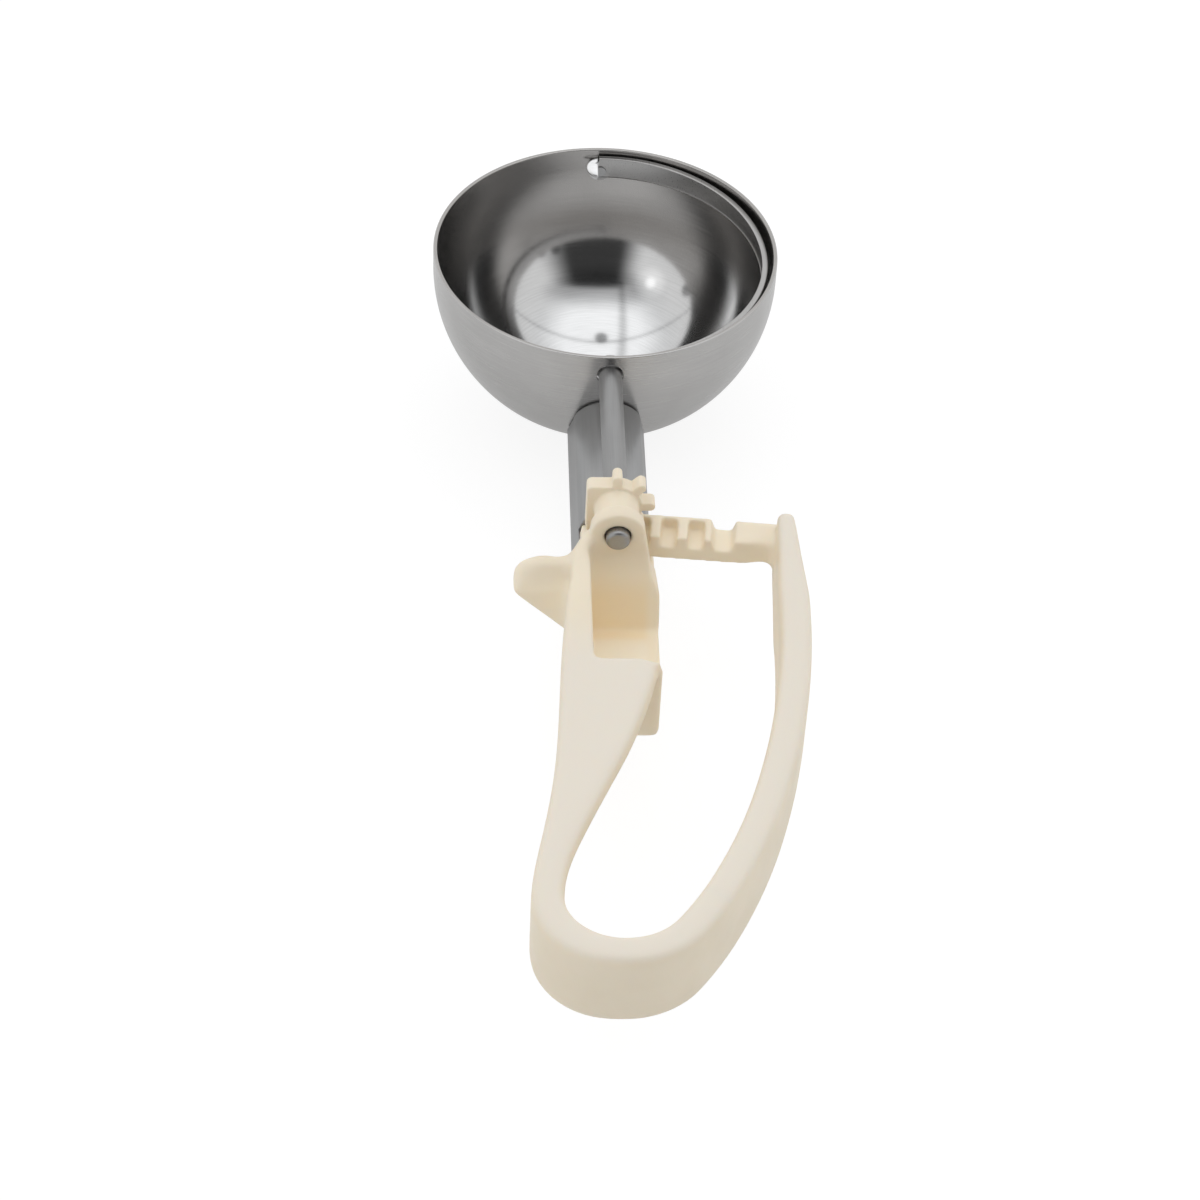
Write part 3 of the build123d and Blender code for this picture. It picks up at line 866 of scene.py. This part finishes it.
# ---------------------------------------------------------------- the scraper blade
blade_outer = blade_high.x + 0.1 * mm
blade_inner = blade_outer - 1.2 * mm
blade_drift = 0.6 * mm           # the strip lies nearer the wall at its far end
blade_rise = 0.7 * mm            # and its upper edge is higher there
far_part = (1.7, 2.9)            # span over which it drifts and rises, in radians
blade_above = 2.6 * mm           # the strip's upper and lower edges, from the shaft's axis
blade_below = 1.6 * mm
blade_round = 0.2 * mm
tab_radius = 2.9 * mm
flap_reach = 2.5 * mm            # half-round flap beside the far pivot
flap_half_height = 2.15 * mm
flap_lean = radians(59)          # its face from the upright
flap_middle = Vector((-0.45, 32.1, -3.0)) * mm     # of its straight edge
flap_dome = [(0.5, 0.07), (0.8, 0.03), (0.93, -0.03), (1.0, -0.16), (1.0, -0.35), (0.96, -0.45)]
blade_overrun = 0.3 * mm         # the strip ends this far past the far pivot


def blade_section(span, above, below, edge):
    """Loop of points across the strip where the great circle has turned by the span."""
    edge = min(edge, 0.45 * (above + below))
    corners = quarter(1)
    share = min(max((span - far_part[0]) / (far_part[1] - far_part[0]), 0), 1)
    drift = blade_drift * share * share * (3 - 2 * share)
    inner = blade_inner + drift
    outer = blade_outer + drift
    if above > blade_below:
        above += blade_rise * share
    loop = []
    loop += [(above - edge * b, outer - edge * a) for a, b in corners]
    loop += [(above - edge * a, inner + edge * b) for a, b in corners[::-1]]
    loop += [(-below + edge * b, inner + edge * a) for a, b in corners]
    loop += [(-below + edge * a, outer - edge * b) for a, b in corners[::-1]]
    points = []
    for height, radius in loop:
        reach = sqrt(max(radius * radius - height * height, 0))
        points.append(Vector((reach * sin(span), -reach * cos(span), shaft_axis.z + height)))
    return points


def blade_strip():
    """The strip from its round near tab to its square end beside the far pivot."""
    mean = (blade_outer + blade_inner) / 2
    tab_span = tab_radius / mean
    tab_steps = 20
    strip_steps = 130
    far_end = tau / 2 + blade_overrun / mean
    spans = [-tab_span * cos(tau / 2 * k / tab_steps) for k in range(tab_steps + 1)]
    spans += [tab_span + (far_end - tab_span) * k / strip_steps for k in range(1, strip_steps + 1)]
    rows = []
    for span in spans:
        across = span * mean
        disc = max(sqrt(max(tab_radius ** 2 - across ** 2, 0)), 0.02 * mm)
        above = max(disc, blade_above) if across > 0 else disc
        below = max(disc, blade_below) if across > 0 else disc
        rows.append(blade_section(span, above, below, blade_round))
    return closed_rows("blade_strip", rows)


def blade_flap():
    """Half-round end of the blade beside the far pivot, bent back from the strip."""
    facing = Vector((0, -cos(flap_lean), sin(flap_lean)))
    upward = Vector((0, sin(flap_lean), cos(flap_lean)))
    leftward = Vector((-1, 0, 0))
    centre = flap_reach * 0.4
    arc_steps = 28
    rim = []
    for k in range(arc_steps + 1):
        angle = tau / 2 * k / arc_steps
        rim.append((flap_reach * sin(angle), flap_half_height * cos(angle)))

    def ring(scale, height):
        return [
            flap_middle + facing * height
            + leftward * (centre + (p - centre) * scale) + upward * q * scale
            for p, q in rim
        ]

    rows = [[flap_middle + leftward * centre + facing * 0.08 * mm]]
    rows += [ring(scale, height * mm) for scale, height in flap_dome]
    return closed_rows("blade_flap", rows)


def blade_seat():
    """Thin disc behind the flap and the strip's end, which the pivot pin holds."""
    front = blade_outer - 0.55 * mm
    back = blade_outer - 0.05 * mm
    radius = 2.3 * mm
    return closed_rows("blade_seat", cylinder_rows(radius, (front, back), 48))


def scraper_blade():
    body = combined(blade_strip(), blade_flap(), "UNION")
    combined(body, blade_seat(), "UNION")
    bright = steel("blade_bright", along_y, tone=0.46, rough=0.30, streak_bump=0.01, warm=0.015)
    polished = steel("blade_polished", spun, tone=0.78, rough=0.34, streak_bump=0.01)
    shade(body, bright, polished, sharp_angle=50)
    for face in body.data.polygons:
        if face.center.x < flap_middle.x + 0.05 * mm and face.center.y > 0:
            face.material_index = 1
    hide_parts("scraper_blade")
    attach(body, "blade")


scraper_blade()


# ---------------------------------------------------------------- shaft and pin
def blade_shaft():
    """Drawn rod with a rounded free end and a riveted end inside the blade's near tab."""
    end_round = 0.85 * mm
    tenon_radius = 1.3 * mm
    near = rod_low.y
    far = rod_high.y
    shoulder = -blade_outer - 0.02 * mm
    outline = [(0, near), (rod_radius * 0.4, near + 0.02 * mm)]
    outline += corner_round(rod_radius, near + 0.05 * mm, end_round, (1, 0), (0, 1), steps=6)
    outline += [(rod_radius, near + 1.2 * mm), (rod_radius, shoulder - 0.1 * mm)]
    outline += corner_round(rod_radius, shoulder, 0.08 * mm, (0, 1), (-1, 0))
    outline += [(tenon_radius, shoulder), (tenon_radius, -blade_inner)]
    outline += corner_round(tenon_radius, far, 0.3 * mm, (0, 1), (-1, 0))
    outline += [(0, far)]
    body = closed_rows("shaft_rod", around(outline, 96, on_shaft))
    matte = steel("rod_matte", along_y, tone=0.335, rough=0.36, streak_bump=0.08)
    shade(body, matte, sharp_angle=40)
    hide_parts("blade_shaft")
    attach(body, "blade")


def pivot_pin():
    """Small rivet: its shank ends inside the blade's far tab, its domed head lies outside."""
    pin_radius = 1.2 * mm
    head_radius = (pin_high.x - pin_low.x) / 2
    seat = bowl_radius + 0.15 * mm
    outline = [(0, blade_inner + 0.3 * mm), (pin_radius, blade_inner + 0.3 * mm)]
    outline += [(pin_radius, seat), (head_radius - 0.1 * mm, seat), (head_radius, seat + 0.1 * mm)]
    dome = 9
    for k in range(dome + 1):
        angle = tau / 4 * k / dome
        outline.append((head_radius * cos(angle),
                        seat + 0.25 * mm + (pin_high.y - seat - 0.25 * mm) * sin(angle)))
    outline[-1] = (0, pin_high.y)
    body = closed_rows("pin_rivet", around(outline, 64, on_shaft))
    matte = steel("pin_matte", along_y, tone=0.48, rough=0.34, streak_bump=0.06)
    shade(body, matte, sharp_angle=40)
    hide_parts("pivot_pin")
    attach(body, "blade")


blade_shaft()
pivot_pin()

# ---------------------------------------------------------------- the shank
shank_edge = 0.22 * mm
shank_far_edge = 0.5 * mm            # rounder where it meets the bowl
shank_near = -66.0 * mm
leg_steps = 12
prong_top = -16.7 * mm
prong_root = 1.0 * mm                # how far a prong runs into the leg


def arch_line():
    """Points of the arch's outer line from foot to foot, each with its inward direction."""
    centre_z = shank_high.z - shank_radius
    down = shank_knee.y - shank_low.z
    leg_in = Vector((cos(shank_flare), -sin(shank_flare)))
    line = []
    for k in range(leg_steps + 1):
        drop = down * (1 - k / leg_steps)
        height = shank_knee.y - drop
        line.append((Vector((-leg_x(height), height)), leg_in))
    arc_steps = 48
    for k in range(1, arc_steps):
        angle = shank_flare + (tau / 2 - 2 * shank_flare) * k / arc_steps
        inward = Vector((cos(angle), -sin(angle)))
        line.append((Vector((0, centre_z)) - inward * shank_radius, inward))
    leg = line[:leg_steps + 1]
    return line + [(Vector((-p.x, p.y)), Vector((-d.x, d.y))) for p, d in leg[::-1]]


def channel_rows(line, near, far_of, far_edge):
    """Rows of points round the sheet, from its outer to its inner face and back."""
    rows = []
    thick = shank_thickness
    near_turn = quarter(shank_edge)
    far_turn = quarter(far_edge)
    section = [(depth, "near", back) for depth, back in near_turn]
    section += [(depth, "far", back) for depth, back in far_turn[::-1]]
    section += [(thick - depth, "far", back) for depth, back in far_turn]
    section += [(thick - depth, "near", back) for depth, back in near_turn[::-1]]
    for point, inward in line:
        made = []
        for depth, end, back in section:
            place = point + inward * depth
            along = near + back if end == "near" else far_of(place) - back
            made.append(Vector((place.x, along, place.y)))
        rows.append(made)
    return rows


def bowl_face(place):
    """Where the bowl's outside lies, along Y, at a place across the scoop."""
    gap = 0.25 * mm
    return -sqrt((bowl_radius + gap) ** 2 - place.x ** 2 - (place.y - shaft_axis.z) ** 2)


def shank():
    line = arch_line()
    body = closed_rows("shank_channel", channel_rows(line, shank_near, bowl_face, shank_far_edge))
    leg = [(p, d) for p, d in line[:leg_steps + 1] if p.y < prong_top]
    for side in (1, -1):
        sided = [(Vector((side * p.x, p.y)), Vector((side * d.x, d.y))) for p, d in leg]
        prong = closed_rows("prong", channel_rows(
            sided, shank_low.y, lambda place: shank_near + prong_root, shank_edge))
        combined(body, prong, "UNION")
    satin = steel("shank_satin", along_y, tone=0.37, rough=0.32, streak_bump=0.10, warm=-0.006)
    shade(body, satin, sharp_angle=40)
    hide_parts("shank")
    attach(body, "handle")


shank()


# ---------------------------------------------------------------- floor and light
def floor():
    """Pale floor under the bowl, seen as white where nothing shades it."""
    size = 3.0
    mesh = bmesh.new()
    bmesh.ops.create_grid(mesh, x_segments=1, y_segments=1, size=size)
    body = linked("floor", meshed("floor", mesh))
    body.location.z = cad_box[0][2] - 0.05 * mm
    finish = Finish("floor_white", Roughness=0.9)
    finish.shader.inputs["Base Color"].default_value = (0.8, 0.8, 0.8, 1)

    def lit(own_light, shaded_light):
        tone = (shaded_light, shaded_light, shaded_light, 1)
        shaded = finish.add("BsdfDiffuse", {"Color": tone})[0]
        own = finish.add("Emission", {"Strength": own_light})[0]
        return finish.add("AddShader", {0: shaded, 1: own})[0]

    path = finish.add("LightPath")
    mirrored = finish.math("MAXIMUM", path["Is Glossy Ray"], path["Is Transmission Ray"])
    plain = finish.shader.outputs[0]
    in_steel = lit(own_light=0.3, shaded_light=0.55)
    either = finish.add("MixShader", {0: mirrored, 1: plain, 2: in_steel})[0]
    in_view = lit(own_light=0.85, shaded_light=0.21)
    seen = finish.add("MixShader", {0: path["Is Camera Ray"], 1: either, 2: in_view})[0]
    finish.tree.links.new(seen, finish.tree.nodes["Material Output"].inputs["Surface"])
    body.data.materials.append(finish.material)


# The studio that the steel mirrors. Directions are azimuth and elevation in degrees, azimuth 0
# towards the handle; along and across are places on a flat ceiling one unit up. Rise is the
# elevations between which a thing begins, and depth is the share of the light that it takes.
low_light, high_light = 0.92, 1.42               # strength by the walls and overhead
light_rise = (46.0, 68.0)
lowest_ceiling = 0.02                            # keeps the places on the ceiling finite
dimmed_along = (-0.30, -0.66)
dimmed_sides = (-60, 60, 25)
dimmed_rise = (34, 46)
dimmed_depth = 0.45
opening_sides = ((-36, -14), (54, 24))           # soft borders of the dark opening
opening_rise = (9, 14)
opening_along = (-0.69, -0.83)
opening_depth = 0.94
rail_along = (0.025, 0.06, 0.015)                # dark line that crosses the ceiling
rail_rise = (24, 30)
rail_depth = 0.45
gap_across = (-0.285, -0.195, 0.04)              # darker stripe that runs towards the handle
gap_slant = 0.11
gap_rise = (45, 47)
gap_depth = 0.40
hub_rim = (0.09, 0.05)                           # soft rim of a dark disc nearly straight above
hub_along = -0.01
hub_depth = 0.75
stand_places = [(46, 18, 5), (35, 21, 4), (-78, 26, 5)]    # direction and size of dark stands
stand_depth = 0.7
lamp = (-48, 39.5)                               # direction of a small bright lamp
lamp_lights = [(5.0, 0.5, 0.62), (13, 3, 0.30)]  # outer and inner angle, strength: glow, halo
cool_tint = (0.99, 1.0, 1.01)                    # of the light from above
cool_rise = (30, 60)


def world():
    """Soft studio: bright above and behind the bowl, with a dark opening on the handle's side."""
    made = bpy.data.worlds.new("studio")
    made.use_nodes = True
    graph = Graph(made.node_tree)
    background = made.node_tree.nodes["Background"]
    x, y, z = graph.split(graph.add("TexCoord")["Generated"])
    azimuth = graph.math("DEGREES", graph.math("ARCTAN2", x, graph.math("MULTIPLY", y, -1.0)))
    elevation = graph.math("DEGREES", graph.math("ARCSINE", z))
    above = graph.math("MAXIMUM", z, lowest_ceiling)
    across = graph.math("DIVIDE", x, above)
    along = graph.math("DIVIDE", y, above)

    def darken(light, mask, share):
        return graph.product(light, graph.math("SUBTRACT", 1.0, graph.product(mask, share)))

    def closeness(direction, outer, inner):
        """1 within the inner angle of a direction, 0 beyond the outer one, all in degrees."""
        turn, rise = (radians(angle) for angle in direction)
        aim = (sin(turn) * cos(rise), -cos(turn) * cos(rise), sin(rise))
        here = graph.join(x, y, z)
        nearness = graph.add("VectorMath", {0: here, 1: aim}, operation="DOT_PRODUCT")[1]
        return graph.ramp(nearness, cos(radians(outer)), cos(radians(inner)))

    light = graph.between(elevation, low_light, high_light, source=light_rise, kind="SMOOTHSTEP")
    dimmed = graph.product(graph.band(azimuth, *dimmed_sides), graph.ramp(along, *dimmed_along),
                           graph.ramp(elevation, *dimmed_rise))
    light = darken(light, dimmed, dimmed_depth)
    left, right = opening_sides
    opening = graph.product(graph.ramp(azimuth, *left), graph.ramp(azimuth, *right),
                            graph.ramp(elevation, *opening_rise),
                            graph.ramp(along, *opening_along))
    light = darken(light, opening, opening_depth)
    rail = graph.product(graph.band(along, *rail_along), graph.ramp(elevation, *rail_rise))
    light = darken(light, rail, rail_depth)
    slanted = graph.math("SUBTRACT", across, graph.product(along, gap_slant))
    gap = graph.product(graph.band(slanted, *gap_across), graph.ramp(elevation, *gap_rise))
    light = darken(light, gap, gap_depth)
    from_hub = graph.math("SQRT", graph.math(
        "ADD", graph.product(across, across),
        graph.math("POWER", graph.math("SUBTRACT", along, hub_along), 2.0)))
    light = darken(light, graph.ramp(from_hub, *hub_rim), hub_depth)
    for *direction, size in stand_places:
        light = darken(light, closeness(direction, size, size / 2), stand_depth)
    for outer, inner, added in lamp_lights:
        light = graph.math("ADD", light, graph.product(closeness(lamp, outer, inner), added))
    looked_at = graph.add("LightPath")["Is Camera Ray"]
    strength = graph.add("Mix", {0: looked_at, 2: light, 3: 1.0}, data_type="FLOAT")[0]
    not_seen = graph.math("SUBTRACT", 1.0, looked_at)
    cool = graph.product(graph.ramp(elevation, *cool_rise), not_seen)
    made.node_tree.links.new(strength, background.inputs["Strength"])
    made.node_tree.links.new(graph.colours(cool, (1, 1, 1), cool_tint), background.inputs["Color"])
    bpy.context.scene.world = made


floor()
world()
bpy.context.scene.view_settings.view_transform = "Standard"
